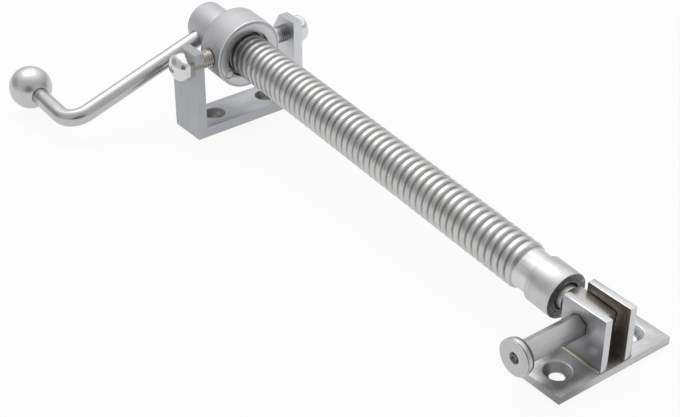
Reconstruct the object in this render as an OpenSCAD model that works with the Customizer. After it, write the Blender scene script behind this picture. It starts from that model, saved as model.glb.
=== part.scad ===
// Screw-driven window opener. A coarse threaded tube is wound through a nut
// that pivots in a U-shaped wall bracket; its swivelling tongue is pinned to a
// small bracket on the sash. X runs along the tube towards the sash, Z is up,
// and the origin is the middle of the wall bracket's foot.

/* [Wall bracket] */
// Depth of the wall bracket, along the tube
wall_depth = 24; // [22:1:36]
// Width of the wall bracket over both cheeks
wall_width = 74; // [70:1:100]
// Thickness of the base and the cheeks
wall_metal = 6; // [4:0.5:8]
// Height of the pivot axis over the foot
pivot_height = 44; // [40:1:60]
// Height of the cheeks over the pivot axis
cheek_above = 10; // [8:0.5:16]
// Pivot axis in front of the bracket's middle
pivot_lead = 2; // [0:0.5:4]
// Length of the slope at the top rear of a cheek
slope_run = 9.4; // [4:0.2:10]
// Drop of that slope
slope_drop = 15; // [6:0.5:18]
// Distance between the two screw holes
wall_hole_gap = 36; // [28:1:40]
// Diameter of the screw holes
wall_hole_d = 6.6; // [4.5:0.1:7]
// Diameter of their countersinks
wall_sink_d = 12.8; // [10:0.2:14]

/* [Pivot screws] */
// Diameter of the pivot screws
pivot_d = 10; // [9:0.5:12]
// Diameter of the dog point that carries the housing
dog_d = 8; // [6:0.5:8.5]
// Width of a cap nut over its flats
cap_af = 15.5; // [15:0.5:19]
// Height of its hexagon
cap_hex = 4.5; // [4:0.5:8]
// Height of a cap nut in all
cap_tall = 9.5; // [8.5:0.5:15]
// Depth of the pivot screw in its cap nut
cap_thread = 5; // [3:0.5:6]

/* [Nut housing] */
// Diameter of the housing
housing_d = 42; // [40:0.5:48]
// Housing in front of the pivot axis
housing_front = 9; // [8:0.5:14]
// Housing behind the pivot axis
housing_back = 9.5; // [8:0.5:14]
// Wall that closes the housing behind the nut
back_wall = 3.5; // [2:0.25:5]
// Outside of the drive nut beyond the middle of the metal round the thread
nut_shift = 0.25; // [-0.5:0.05:0.75]
// Step out to the rim at the face of the drive nut
rim_step = 2; // [1.8:0.1:2.2]
// Thickness of that rim
rim_thick = 2.5; // [1.5:0.25:3]
// Gap round the thread in the recess of the nut's face
mouth_gap = 1.5; // [1:0.1:2]
// Depth of that recess
mouth_deep = 4; // [2:0.5:6]
// Diameter of the locking key
key_d = 4.6; // [3:0.2:4.8]
// Depth of the key in the wall of the housing
key_bite = 1.5; // [1.2:0.1:1.5]
// Length of the key
key_long = 5; // [3.5:0.5:5]
// Turn of the key from the right-hand pivot
key_turn = 215; // [215:5:325]

/* [Threaded tube] */
// Diameter over the thread
thread_d = 25; // [24:0.5:26]
// Depth of the thread groove
groove_deep = 1.5; // [1:0.1:1.5]
// Width of the groove at its mouth
groove_wide = 1.9; // [1.2:0.1:2.6]
// Fall of the rounded ridge from its middle to the groove
ridge_fall = 0.3; // [0.1:0.05:0.4]
// Travel for one turn of the crank
pitch = 4.7; // [4:0.1:6]
// Length of the threaded part
thread_long = 251.9; // [120:0.1:400]
// Start of the groove from the crank end of the thread
groove_start = 6.4; // [4:0.1:10]
// Plain land between the end of the groove and the cone
groove_stop = 1.7; // [1.2:0.1:9]
// Length of the cone between the thread and the neck
cone_long = 1.5; // [1:0.1:4]
// Diameter of the neck
neck_d = 21.5; // [20:0.5:22.5]
// Length of the neck up to the end sleeve
neck_long = 9.1; // [3:0.1:20]

/* [Crank] */
// Diameter of the hub
hub_d = 25; // [24:0.5:30]
// Length of the hub
hub_long = 26.3; // [25:0.5:36]
// Diameter of the tube's spigot inside the hub
spigot_d = 16; // [12:0.5:18]
// Depth of that spigot
spigot_long = 10.5; // [8:0.5:11]
// Diameter of the blind pin that locks hub and tube
lock_d = 4; // [3:0.5:5]
// Diameter of the crank rod
arm_d = 10; // [8:0.5:11]
// Crank rod behind the front of the hub
arm_back = 17.5; // [17.5:0.5:19]
// Turn of the crank about the tube
arm_turn = 198.7; // [180:0.1:215]
// Metal left in the hub behind the crank rod
arm_wall = 4; // [2:0.5:6]
// Depth of the crank rod in its ball
ball_bed = 9; // [6:0.5:12]
// Turn of the blind pin about the tube
lock_turn = 317; // [300:1:340]
// Radius from the tube's axis to the grip
arm_radius = 102.7; // [60:0.1:160]
// Radius of the bend, on the rod's middle
bend_radius = 12; // [10:0.5:30]
// Ball behind the crank arm, to its middle
ball_back = 46.9; // [40:0.1:120]
// Diameter of the ball
ball_d = 25; // [20:0.5:30]

/* [Swivel end] */
// Diameter of the end sleeve
sleeve_d = 25; // [24:0.5:26]
// Length of the end sleeve
sleeve_long = 16; // [16:0.5:24]
// Wall of the end sleeve
sleeve_wall = 3; // [2:0.25:3]
// Front wall that holds the swivel bolt
sleeve_front = 4.5; // [3:0.25:5]
// Hole in that front wall
sleeve_mouth_d = 15.2; // [13:0.1:16]
// Part of the neck that is screwed into the sleeve
neck_grip = 4.5; // [3:0.25:5]
// Diameter of the swivel bolt's shank
swivel_d = 12.5; // [11:0.25:12.75]
// Thickness of a thrust washer
washer_thick = 1; // [0.6:0.1:1.2]
// Thickness of the tongue
tongue_thick = 11; // [11:0.5:14]
// Height of the tongue
tongue_tall = 12; // [12:0.5:16]
// Tongue beyond the pin
tongue_past = 8.3; // [7:0.1:10]
// Tongue behind the pin
tongue_before = 15.3; // [15:0.1:17]
// Diameter of the bolt's thread in the tongue
tongue_thread_d = 8; // [6:0.5:9]
// Length of that thread
tongue_thread = 9; // [6:0.5:9.5]
// Pin in front of the end sleeve
pin_reach = 17.6; // [17.6:0.1:24]

/* [Sash bracket] */
// Bracket behind the pin
sash_back = 11.1; // [8:0.1:12]
// Bracket in front of the pin
sash_front = 17.1; // [12:0.1:24]
// Width of the plate, across the tube
plate_wide = 72.4; // [66:0.2:90]
// Thickness of the plate
plate_thick = 4.4; // [3:0.1:6]
// Thickness of an ear
ear_thick = 4.2; // [3:0.1:6]
// Height of the pin over the plate
pin_rise = 18.1; // [18:0.1:24]
// Height of the ears over the pin
ear_above = 11.3; // [7:0.1:12]
// Distance between the plate's screw holes
sash_hole_gap = 47.2; // [46:0.2:50]
// Diameter of those holes
sash_hole_d = 7.5; // [4.5:0.1:8]
// Diameter of their countersinks
sash_sink_d = 14; // [10:0.2:14]
// Leg of the weld beads at the ears' feet
bead = 1.2; // [0.8:0.1:1.5]

/* [Hinge pin] */
// Diameter of the hinge pin
pin_d = 8; // [6:0.5:8]
// Width of its hexagon over the flats
pin_af = 10; // [10:0.5:13]
// Length of the hexagon
pin_hex = 35; // [20:0.5:50]
// Turn of the hexagon about the pin
pin_turn = 30; // [0:1:60]
// Diameter of the riveted flange
flange_d = 18.6; // [17.8:0.2:24]
// Thickness of the flange
flange_thick = 2.7; // [2:0.1:4]
// Diameter of the washer behind the flange
ring_d = 17.4; // [14:0.2:17.6]
// Thickness of that washer
ring_thick = 1.5; // [1:0.1:2.5]
// Diameter of the rivet tail
tail_d = 3.4; // [3:0.1:4.2]
// Diameter of the sink round the tail's head
dimple_d = 5.6; // [5:0.1:7]
// Depth of that sink
dimple_deep = 1.6; // [0.8:0.1:1.6]

/* [Clearances] */
// Radial gap of every running fit
run_gap = 0.08; // [0.05:0.01:0.1]
// Gap between faces that turn or slide past each other
slip = 0.1; // [0.05:0.05:0.2]
// Gap between the housing and the hub at full length
stop_gap = 0.5; // [0.3:0.1:1]
// Gap each side of the tongue
slot_gap = 0.3; // [0.2:0.05:0.5]
// Gap round pieces that are pressed or screwed together
seat = 0.02; // [0.01:0.01:0.05]

/* [Hidden] */
$fn = 64;
over = 1;
edge = 0.5;
lock_bite = 5;
groove_gap = 0.3;

// Positions along the tube, from the pivot axis
housing_r = housing_d / 2;
drive_nut_d = (housing_d + thread_d) / 2 + 2 * nut_shift;
rim_d = drive_nut_d + 2 * rim_step;
rim_start = housing_front - rim_thick;
mouth_d = thread_d + 2 * mouth_gap;
key_circle_d = drive_nut_d + 2 * key_bite - key_d;
screw_start = -housing_back - stop_gap;
thread_end = screw_start + thread_long;
cone_end = thread_end + cone_long;
neck_end = cone_end + neck_long;
sleeve_end = neck_end + sleeve_long;
pin_s = sleeve_end + pin_reach;
hub_end = screw_start - hub_long;
arm_s = screw_start - arm_back;
ball_s = arm_s - ball_back;
pin_z = plate_thick + pin_rise;
tilt = asin((pivot_height - pin_z) / pin_s);
pin_x = pivot_lead + pin_s * cos(tilt);
cheek_in = wall_width / 2 - wall_metal;
ear_in = tongue_thick / 2 + slot_gap;
ear_out = ear_in + ear_thick;

cavity_d = sleeve_d - 2 * sleeve_wall;
tongue_start = pin_s - tongue_before;
hex_start = ear_out + 2 * slip;
hex_end = hex_start + pin_hex;
flange_end = hex_end + ring_thick + groove_gap + flange_thick;
sink_end = flange_end - dimple_deep;

// Thread: columns round the tube, the groove's profile as [along, down] points,
// whole rows of it that fit on the tube, and the turns that are cut
columns = 20;
groove_shape = [
    [-pitch / 2, 0], [-groove_wide / 2, ridge_fall], [0, groove_deep], [groove_wide / 2, ridge_fall]
];
groove_rows = floor((thread_long - groove_start - groove_wide / 2 - slip) / pitch);
groove_turns = min(groove_rows, (thread_long - groove_start - groove_stop) / pitch);
column_points = 2 + len(groove_shape) * groove_rows;
last_row = len(groove_shape) * groove_rows - 1;

module along_tube(s = 0) {
    translate([pivot_lead, 0, pivot_height]) rotate([0, tilt, 0]) translate([s, 0, 0]) children();
}

module at_pin() {
    translate([pin_x, 0, pin_z]) children();
}

// Revolves a profile of [radius, length] points about the tube's direction
module turned(profile) {
    rotate([0, 90, 0]) rotate_extrude() polygon(profile);
}

module rod(d, from, to) {
    translate([from, 0, 0]) rotate([0, 90, 0]) cylinder(d = d, h = to - from);
}

module cross_rod(d, from, to) {
    translate([0, from, 0]) rotate([-90, 0, 0]) cylinder(d = d, h = to - from);
}

// A shaft with broken edges at both ends, along the tube's direction
module turned_bar(d, from, to, break = edge) {
    turned([
        [0, from], [d / 2 - break, from], [d / 2, from + break],
        [d / 2, to - break], [d / 2 - break, to], [0, to]
    ]);
}

// A countersunk hole down from the top of a plate
module sunk_hole(d, sink_d, thick) {
    translate([0, 0, -over]) cylinder(d = d, h = thick + 2 * over);
    translate([0, 0, thick - (sink_d - d) / 2]) cylinder(d1 = d, d2 = sink_d, h = (sink_d - d) / 2);
    translate([0, 0, thick]) cylinder(d = sink_d, h = over);
}

// A slab extruded across the tube from a side outline in X and Z
module side_slab(outline, from, to) {
    translate([0, to, 0]) rotate([90, 0, 0]) linear_extrude(to - from) polygon(outline);
}

// A slab extruded along the tube's direction from an outline in Y and Z
module run_slab(outline, from, to) {
    translate([from, 0, 0]) rotate([90, 0, 90]) linear_extrude(to - from) polygon(outline);
}

module wall_bracket() {
    back = -wall_depth / 2;
    front = wall_depth / 2;
    top = pivot_height + cheek_above;
    cheek = [[back, 0], [front, 0], [front, top], [back + slope_run, top], [back, top - slope_drop]];
    color("lightgray") difference() {
        union() {
            for (side = [-1, 1]) {
                from = side > 0 ? cheek_in : -wall_width / 2;
                side_slab(cheek, from, from + wall_metal);
            }
            translate([back, -wall_width / 2, 0]) cube([wall_depth, wall_width, wall_metal]);
        }
        for (side = [-1, 1])
            translate([0, side * wall_hole_gap / 2, 0])
                sunk_hole(wall_hole_d, wall_sink_d, wall_metal);
        translate([pivot_lead, 0, pivot_height])
            cross_rod(pivot_d + 2 * seat, -wall_width / 2 - over, wall_width / 2 + over);
    }
}

// One pivot screw: thread through the cheek, dog point in the housing
module pivot_screw() {
    shoulder = housing_r + slip;
    out = wall_width / 2 + cap_thread;
    tip = drive_nut_d / 2 + slip + seat;
    rotate([-90, 0, 0]) rotate_extrude() polygon([
        [0, tip], [dog_d / 2 - edge, tip], [dog_d / 2, tip + edge], [dog_d / 2, shoulder],
        [pivot_d / 2 - edge, shoulder], [pivot_d / 2, shoulder + edge],
        [pivot_d / 2, out - edge], [pivot_d / 2 - edge, out], [0, out]
    ]);
}

module pivot_screws() {
    color("gainsboro") for (side = [0, 1])
        translate([pivot_lead, 0, pivot_height]) mirror([0, side, 0]) pivot_screw();
}

// A low cap nut: chamfered hexagon, turned collar and flattened dome, blind hole
module cap_nut() {
    corner_r = cap_af / sqrt(3);
    dome_r = cap_af / 2 - edge;
    crown_r = cap_af / 4;
    rise = cap_tall - cap_hex;
    face_r = cap_af / 2 - edge / 2;
    chamfer = (corner_r + over - face_r) * tan(30);
    difference() {
        union() {
            intersection() {
                rotate([0, 0, 90]) cylinder(r = corner_r, h = cap_hex, $fn = 6);
                rotate_extrude() polygon([
                    [0, 0], [face_r, 0], [corner_r + over, chamfer],
                    [corner_r + over, cap_hex - chamfer], [face_r, cap_hex], [0, cap_hex]
                ]);
            }
            rotate_extrude() polygon(concat(
                [[0, cap_hex - over], [dome_r, cap_hex - over]],
                [for (a = [0:10:90]) [
                    crown_r + (dome_r - crown_r) * cos(a), cap_hex + rise * sin(a)
                ]],
                [[0, cap_tall]]
            ));
        }
        translate([0, 0, -over]) cylinder(r = pivot_d / 2 + seat, h = cap_thread + 2 * slip + over);
    }
}

module cap_nuts() {
    color("whitesmoke") for (side = [0, 1])
        translate([pivot_lead, 0, pivot_height]) mirror([0, side, 0])
            translate([0, wall_width / 2 + seat, 0]) rotate([-90, 0, 0]) cap_nut();
}

module key_hole(gap) {
    rotate([-key_turn, 0, 0]) translate([0, key_circle_d / 2, 0])
        rod(key_d + 2 * gap, housing_front - key_long - gap, housing_front + (gap > 0 ? over : 0));
}

module trunnion_housing() {
    color("silver") along_tube() difference() {
        turned_bar(housing_d, -housing_back, housing_front);
        rod(drive_nut_d + 2 * seat, -housing_back + back_wall, housing_front + over);
        rod(rim_d + 2 * seat, rim_start - seat, housing_front + over);
        rod(thread_d + 2 * slip, -housing_back - over, housing_front);
        cross_rod(dog_d + 2 * run_gap, -housing_r - over, housing_r + over);
        key_hole(seat);
    }
}

// A bush with a rim at its face, let into the housing
module drive_nut() {
    color("darkgray") along_tube() difference() {
        union() {
            rod(drive_nut_d, -housing_back + back_wall + seat, housing_front);
            rod(rim_d, rim_start, housing_front);
        }
        rod(thread_d + 2 * run_gap, -housing_back, housing_front);
        rod(mouth_d, housing_front - mouth_deep, housing_front + over);
        key_hole(seat);
    }
}

module nut_key() {
    color("dimgray") along_tube() key_hole(0);
}

// The coarse thread as one closed skin. Column c stands c / columns of a turn round
// the tube, and its point rows repeat once per pitch. After the last column the skin
// closes on the first one a pitch further along, which is what makes it a helix.
// The groove deepens and dies away over a quarter turn at each end.
function groove_grow(t) = max(0, min(1, 4 * t, 4 * (groove_turns - t)));
function column_turn(c) = 360 * c / columns;
function on_tube(s, r, a) = [s, r * cos(a), r * sin(a)];
function skin_point(c, k, shape) =
    let (t = k + c / columns, r = thread_d / 2 - shape[1] * groove_grow(t))
    on_tube(screw_start + groove_start + shape[0] + pitch * t, r, column_turn(c));

thread_points = [for (c = [0:columns - 1]) each concat(
    [on_tube(screw_start, thread_d / 2, column_turn(c))],
    [for (k = [0:groove_rows - 1], shape = groove_shape) skin_point(c, k, shape)],
    [on_tube(thread_end, thread_d / 2, column_turn(c))]
)];

function start_id(c) = c * column_points;
function skin_id(c, n) = c * column_points + 1 + n;
function end_id(c) = (c + 1) * column_points - 1;

// The two triangles between neighbouring columns, a above b, from row n to n + 1
function skin_pair(a, an, b, bn) = [
    [skin_id(a, an), skin_id(a, an + 1), skin_id(b, bn)],
    [skin_id(a, an + 1), skin_id(b, bn + 1), skin_id(b, bn)]
];

// The strip from one column to the next
function skin_strip(c) = concat(
    [[start_id(c), skin_id(c, 0), start_id(c + 1)], [skin_id(c, 0), skin_id(c + 1, 0), start_id(c + 1)]],
    [for (n = [0:last_row - 1]) each skin_pair(c, n, c + 1, n)],
    [[skin_id(c, last_row), end_id(c), skin_id(c + 1, last_row)],
        [end_id(c), end_id(c + 1), skin_id(c + 1, last_row)]]
);

// The strip that closes the skin, one pitch up, with a fan over the rows left at each end
function seam_strip(c, step) = concat(
    [[start_id(c), skin_id(0, 0), start_id(0)]],
    [for (n = [0:step - 1]) [start_id(c), skin_id(0, n + 1), skin_id(0, n)]],
    [[start_id(c), skin_id(c, 0), skin_id(0, step)]],
    [for (n = [0:last_row - step - 1]) each skin_pair(c, n, 0, n + step)],
    [[skin_id(c, last_row - step), end_id(0), skin_id(0, last_row)]],
    [for (n = [last_row - step:last_row - 1]) [skin_id(c, n), skin_id(c, n + 1), end_id(0)]],
    [[skin_id(c, last_row), end_id(c), end_id(0)]]
);

thread_faces = concat(
    [[for (c = [0:columns - 1]) start_id(c)]],
    [[for (c = [columns - 1:-1:0]) end_id(c)]],
    [for (c = [0:columns - 2]) each skin_strip(c)],
    seam_strip(columns - 1, len(groove_shape))
);

module lock_hole(gap) {
    rotate([lock_turn, 0, 0]) translate([screw_start - spigot_long / 2, 0, 0])
        cross_rod(lock_d + 2 * gap, spigot_d / 2 - lock_bite, hub_d / 2 - edge + (gap > 0 ? over : 0));
}

// Thread, neck and the spigots inside the hub and the end sleeve, in one piece
module jack_screw() {
    neck_r = neck_d / 2;
    color("silver") along_tube() difference() {
        union() {
            polyhedron(points = thread_points, faces = thread_faces);
            rod(spigot_d, screw_start - spigot_long, screw_start + over);
            turned([
                [0, thread_end - over], [neck_r, thread_end - over], [neck_r, thread_end],
                [thread_d / 2 - edge / 2, thread_end], [neck_r, cone_end], [neck_r, neck_end], [0, neck_end]
            ]);
            rod(cavity_d - 2 * seat, neck_end - over, neck_end + neck_grip);
        }
        lock_hole(seat);
    }
}

module crank_hub() {
    color("silver") along_tube() difference() {
        turned_bar(hub_d, hub_end, screw_start - seat);
        rod(spigot_d + 2 * seat, screw_start - spigot_long - seat, screw_start + over);
        rotate([arm_turn, 0, 0]) translate([arm_s, 0, 0])
            cross_rod(arm_d + 2 * seat, arm_wall - hub_d / 2 - seat, hub_d);
        lock_hole(seat);
    }
}

module hub_lock_pin() {
    color("gray") along_tube() lock_hole(0);
}

// Round rod: straight out of the hub, a right-angle bend, then back to the ball
module crank_arm() {
    color("lightgray") along_tube() rotate([arm_turn, 0, 0]) {
        translate([arm_s, 0, 0]) cross_rod(arm_d, arm_wall - hub_d / 2, arm_radius - bend_radius);
        translate([arm_s - bend_radius, arm_radius - bend_radius, 0])
            rotate_extrude(angle = 90) translate([bend_radius, 0]) circle(d = arm_d);
        translate([0, arm_radius, 0]) rod(arm_d, ball_s + ball_d / 2 - ball_bed, arm_s - bend_radius);
    }
}

module crank_ball() {
    color("gainsboro") along_tube() rotate([arm_turn, 0, 0]) translate([ball_s, arm_radius, 0])
        difference() {
            sphere(d = ball_d);
            rod(arm_d + 2 * seat, ball_d / 2 - ball_bed - seat, ball_d);
        }
}

module end_sleeve() {
    color("silver") along_tube() difference() {
        turned_bar(sleeve_d, neck_end + seat, sleeve_end);
        rod(cavity_d, neck_end - over, sleeve_end - sleeve_front);
        rod(sleeve_mouth_d, neck_end, sleeve_end + over);
    }
}

// Head inside the sleeve, shank through its front wall, thread in the tongue
module swivel_bolt() {
    head_start = neck_end + neck_grip + washer_thick + 2 * slip;
    head_end = sleeve_end - sleeve_front - washer_thick - 2 * slip;
    color("darkgray") along_tube() {
        rod(cavity_d - 2 * run_gap, head_start, head_end);
        rod(swivel_d, head_end - over, tongue_start);
        rod(tongue_thread_d, tongue_start - over, tongue_start + tongue_thread);
    }
}

module thrust_washers() {
    color("goldenrod") along_tube()
        for (s = [neck_end + neck_grip + slip, sleeve_end - sleeve_front - slip - washer_thick])
            difference() {
                rod(cavity_d - 2 * run_gap, s, s + washer_thick);
                rod(swivel_d + 2 * slip, s - over, s + washer_thick + over);
            }
}

// Flat bar that turns on the hinge pin between the ears
module tongue() {
    y = tongue_thick / 2;
    z = tongue_tall / 2;
    profile = [
        [-y + edge, -z], [y - edge, -z], [y, -z + edge], [y, z - edge],
        [y - edge, z], [-y + edge, z], [-y, z - edge], [-y, -z + edge]
    ];
    color("gray") along_tube() difference() {
        run_slab(profile, tongue_start, pin_s + tongue_past);
        rod(tongue_thread_d + 2 * seat, tongue_start - over, tongue_start + tongue_thread + seat);
        translate([pin_s, 0, 0]) cross_rod(pin_d + 2 * run_gap, -tongue_thick, tongue_thick);
    }
}

module sash_plate() {
    y = plate_wide / 2;
    color("lightgray") at_pin() difference() {
        intersection() {
            run_slab([
                [-y, -pin_z], [y, -pin_z], [y, -pin_rise - edge], [y - edge, -pin_rise],
                [-y + edge, -pin_rise], [-y, -pin_rise - edge]
            ], -sash_back, sash_front);
            side_slab([
                [-sash_back, -pin_z], [sash_front, -pin_z], [sash_front, -pin_rise - edge],
                [sash_front - edge, -pin_rise], [edge - sash_back, -pin_rise], [-sash_back, -pin_rise - edge]
            ], -y, y);
        }
        for (side = [-1, 1])
            translate([(sash_front - sash_back) / 2, side * sash_hole_gap / 2, -pin_z])
                sunk_hole(sash_hole_d, sash_sink_d, plate_thick);
    }
}

module ear() {
    difference() {
        run_slab([
            [ear_in, -pin_rise], [ear_out, -pin_rise], [ear_out, ear_above - edge],
            [ear_out - edge, ear_above], [ear_in + edge / 2, ear_above], [ear_in, ear_above - edge / 2]
        ], edge - sash_back, sash_front - edge);
        cross_rod(pin_d + 2 * run_gap, 0, ear_out + over);
    }
}

module near_ear() {
    color("silver") at_pin() mirror([0, 1, 0]) ear();
}

module far_ear() {
    color("silver") at_pin() ear();
}

module ear_welds() {
    color("tan") at_pin() for (side = [0, 1]) mirror([0, side, 0])
        run_slab([
            [ear_out, -pin_rise], [ear_out + bead, -pin_rise], [ear_out, bead - pin_rise]
        ], 2 * edge - sash_back, sash_front - 2 * edge);
}

// Shank through the ears and the tongue, hexagon outside, tail for the flange
module hinge_pin() {
    corner_r = pin_af / sqrt(3);
    color("darkgray") at_pin() mirror([0, 1, 0]) rotate([-90, 0, 0]) {
        intersection() {
            rotate([0, 0, pin_turn]) translate([0, 0, hex_start]) cylinder(r = corner_r, h = pin_hex, $fn = 6);
            rotate_extrude() polygon([
                [0, hex_start], [pin_af / 2, hex_start], [corner_r, hex_start + edge],
                [corner_r, hex_end - edge], [pin_af / 2, hex_end], [0, hex_end]
            ]);
        }
        rotate_extrude() polygon([
            [0, slip - ear_out], [pin_d / 2 - edge, slip - ear_out], [pin_d / 2, slip + edge - ear_out],
            [pin_d / 2, hex_start + over], [0, hex_start + over]
        ]);
        rotate_extrude() polygon(concat(
            [[0, hex_end - over], [tail_d / 2, hex_end - over]],
            [for (a = [0:15:75]) [tail_d / 2 * cos(a), sink_end + tail_d / 4 * sin(a)]],
            [[0, sink_end + tail_d / 4]]
        ));
    }
}

module pin_washer() {
    color("peru") at_pin() mirror([0, 1, 0]) rotate([-90, 0, 0]) rotate_extrude() polygon([
        [tail_d / 2 + seat, hex_end + seat], [ring_d / 2 - edge, hex_end + seat],
        [ring_d / 2, hex_end + seat + edge], [ring_d / 2, hex_end + ring_thick],
        [tail_d / 2 + seat, hex_end + ring_thick]
    ]);
}

module pin_flange() {
    back = flange_end - flange_thick;
    color("gainsboro") at_pin() mirror([0, 1, 0]) rotate([-90, 0, 0]) rotate_extrude() polygon([
        [tail_d / 2 + seat, hex_end + ring_thick + seat], [ring_d / 2 - 2 * edge, hex_end + ring_thick + seat],
        [ring_d / 2 - 2 * edge, back], [flange_d / 2 - edge / 2, back], [flange_d / 2, back + edge / 2],
        [flange_d / 2, flange_end - edge], [flange_d / 2 - edge, flange_end],
        [dimple_d / 2 + seat, flange_end], [tail_d / 2 + seat, sink_end]
    ]);
}

wall_bracket();
pivot_screws();
cap_nuts();
trunnion_housing();
drive_nut();
nut_key();
jack_screw();
crank_hub();
hub_lock_pin();
crank_arm();
crank_ball();
end_sleeve();
swivel_bolt();
thrust_washers();
tongue();
sash_plate();
near_ear();
far_ear();
ear_welds();
hinge_pin();
pin_washer();
pin_flange();
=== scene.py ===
import math

import bmesh
import bpy
from mathutils import Euler, Matrix, Vector


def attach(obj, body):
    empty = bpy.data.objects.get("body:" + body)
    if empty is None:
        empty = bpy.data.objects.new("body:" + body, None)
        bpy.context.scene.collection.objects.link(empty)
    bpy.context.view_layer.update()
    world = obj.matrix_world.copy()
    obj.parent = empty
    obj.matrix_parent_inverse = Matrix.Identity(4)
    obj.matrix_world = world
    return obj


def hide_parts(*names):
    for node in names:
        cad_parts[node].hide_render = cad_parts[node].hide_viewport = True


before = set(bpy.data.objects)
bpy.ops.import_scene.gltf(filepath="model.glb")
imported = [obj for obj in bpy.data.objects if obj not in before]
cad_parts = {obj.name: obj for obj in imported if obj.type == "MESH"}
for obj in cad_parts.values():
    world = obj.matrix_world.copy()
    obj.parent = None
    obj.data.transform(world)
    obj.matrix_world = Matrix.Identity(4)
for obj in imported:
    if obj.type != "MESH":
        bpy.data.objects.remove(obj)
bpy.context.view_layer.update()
MM = 0.001

# The camera of the photograph: a long lens in front and to the right of the tube,
# well above it, that looks down its length towards the crank.
camera_place = (0.6522, -0.4283, 0.4420)
camera_down = math.radians(33.23)
camera_heading = math.radians(52.36)
camera_roll = 0.004
lens_mm = 79.73
film_mm = 36
sees_to = 20


def start_clean():
    """Back to object mode with nothing selected."""
    if bpy.context.object and bpy.context.object.mode == "EDIT":
        bpy.ops.object.mode_set(mode="OBJECT")
    bpy.ops.object.select_all(action="DESELECT")


start_clean()
turn = Euler((math.radians(90) - camera_down, 0, camera_heading)).to_matrix()
turn = turn @ Matrix.Rotation(camera_roll, 3, "Z")
bpy.ops.object.camera_add(location=camera_place, rotation=turn.to_euler())
photo_camera = bpy.context.object
photo_camera.data.lens = lens_mm
photo_camera.data.sensor_width = film_mm
photo_camera.data.clip_end = sees_to
bpy.context.scene.camera = photo_camera
bpy.context.scene.view_settings.view_transform = "Standard"

# The studio: a white table in a pale tent. Its roof glows behind and above the crank,
# its open side towards the camera is dark, and so is a flag low on the left, which
# puts the dark band on the tube. One soft lamp hangs behind the crank.
table_wide = 8
table_below = 0.0004
table_tone = 0.8
table_glow_seen = 0.9
table_glow_mirrored = 0.78
tent_wall = 0.66
roof_towards = Vector((-0.35, 0.25, 0.90))
roof_edge = (0.50, 0.95)
tent_roof = 1.30
mouth_towards = Vector((0.78, -0.60, 0.17))
mouth_edge = (0.84, 0.98)
tent_mouth = 0.25
flag_towards = Vector((-0.65, -0.73, 0.20))
flag_edge = (0.86, 0.97)
tent_flag = 0.62
lamp_place = Vector((-0.45, 0.10, 1.10))
lamp_aim = Vector((0.14, 0, 0.03))
lamp_wide = 0.9
lamp_tall = 0.7
lamp_watts = 3


def empty_material(name):
    """A material that holds only its output."""
    material = bpy.data.materials.new(name)
    material.use_nodes = True
    tree = material.node_tree
    tree.nodes.clear()
    return material, tree, tree.nodes.new("ShaderNodeOutputMaterial")


def plug(tree, value, socket):
    """Sets a socket to a number or colour, or links another socket to it."""
    if isinstance(value, (int, float, tuple)):
        socket.default_value = value
    else:
        tree.links.new(value, socket)


def sum_up(tree, operation, first, second=None):
    """A Math node on one or two numbers or sockets."""
    node = tree.nodes.new("ShaderNodeMath")
    node.operation = operation
    plug(tree, first, node.inputs[0])
    if second is not None:
        plug(tree, second, node.inputs[1])
    return node.outputs[0]


def times(tree, first, second):
    """One value times another."""
    return sum_up(tree, "MULTIPLY", first, second)


def spread(tree, value, low, high, to_low=0.0, to_high=1.0):
    """A smooth Map Range node from one span of values to another."""
    node = tree.nodes.new("ShaderNodeMapRange")
    node.interpolation_type = "SMOOTHSTEP"
    for socket, number in zip(node.inputs[1:5], (low, high, to_low, to_high)):
        socket.default_value = number
    tree.links.new(value, node.inputs[0])
    return node.outputs[0]


def mix_shaders(tree, share, first, second, out):
    """Puts out one shader with a share of another mixed in."""
    mix = tree.nodes.new("ShaderNodeMixShader")
    for socket, fed_by in zip(mix.inputs, (share, first.outputs[0], second.outputs[0])):
        tree.links.new(fed_by, socket)
    tree.links.new(mix.outputs[0], out.inputs["Surface"])


start_clean()
bpy.ops.mesh.primitive_plane_add(size=table_wide, location=(0, 0, -table_below))
table = bpy.context.object
table.name = "studio_table"
material, tree, out = empty_material("white_table")
matte = tree.nodes.new("ShaderNodeBsdfDiffuse")
matte.inputs["Color"].default_value = (table_tone, table_tone, table_tone, 1)
glow = tree.nodes.new("ShaderNodeEmission")
glow.inputs["Color"].default_value = (1, 1, 1, 1)
path = tree.nodes.new("ShaderNodeLightPath")
seen = sum_up(
    tree, "MAXIMUM", path.outputs["Is Camera Ray"], path.outputs["Is Transmission Ray"])
seen = times(tree, seen, table_glow_seen)
mirrored = times(tree, path.outputs["Is Glossy Ray"], table_glow_mirrored)
mix_shaders(tree, sum_up(tree, "MAXIMUM", seen, mirrored), matte, glow, out)
table.data.materials.append(material)

world = bpy.data.worlds.new("white_tent")
bpy.context.scene.world = world
world.use_nodes = True
tree = world.node_tree
tree.nodes.clear()
out = tree.nodes.new("ShaderNodeOutputWorld")
way = tree.nodes.new("ShaderNodeTexCoord")
strength = tent_wall
for towards, edge, factor in (
        (roof_towards, roof_edge, tent_roof / tent_wall),
        (mouth_towards, mouth_edge, tent_mouth),
        (flag_towards, flag_edge, tent_flag)):
    facing = tree.nodes.new("ShaderNodeVectorMath")
    facing.operation = "DOT_PRODUCT"
    facing.inputs[1].default_value = towards
    tree.links.new(way.outputs["Generated"], facing.inputs[0])
    strength = times(tree, spread(tree, facing.outputs["Value"], *edge, 1, factor), strength)
tent = tree.nodes.new("ShaderNodeBackground")
white = tree.nodes.new("ShaderNodeBackground")
for shader in (tent, white):
    shader.inputs["Color"].default_value = (1, 1, 1, 1)
tree.links.new(strength, tent.inputs["Strength"])
path = tree.nodes.new("ShaderNodeLightPath")
mix_shaders(tree, path.outputs["Is Camera Ray"], tent, white, out)

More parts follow.
